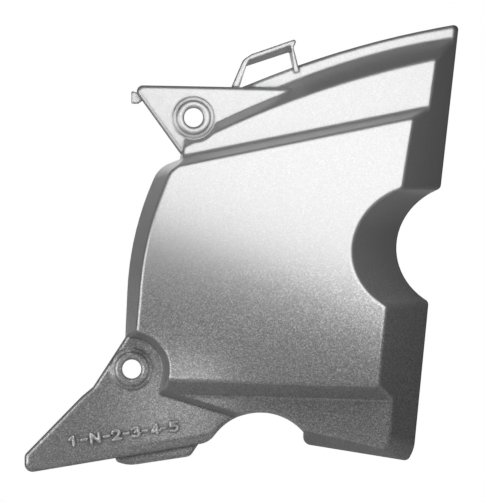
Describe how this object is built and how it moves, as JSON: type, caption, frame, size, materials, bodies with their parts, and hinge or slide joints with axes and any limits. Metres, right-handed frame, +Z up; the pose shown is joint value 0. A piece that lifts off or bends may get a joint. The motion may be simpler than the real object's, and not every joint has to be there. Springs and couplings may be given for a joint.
{
  "type": "front sprocket cover",
  "caption": "Hollow stepped cover for a motorcycle's front sprocket, with screw flanges, a half-round pivot notch, a shift shaft notch and a cable guide loop.",
  "frame": {"origin": "midway between the two screw holes, on the mounting plane that the screw tubes and the back edge lie in", "axes": "-Y points outward from the engine, along the screws, to the viewer of the picture; +X points to the rear wheel; +Z points up"},
  "size_m": [0.1565, 0.036, 0.1613],
  "materials": {
    "silver_paint": "moulded plastic with satin silver metallic paint, fine sparkle"
  },
  "bodies": {
    "root": {"sprocket_cover": "silver_paint"}
  },
  "joints": []
}
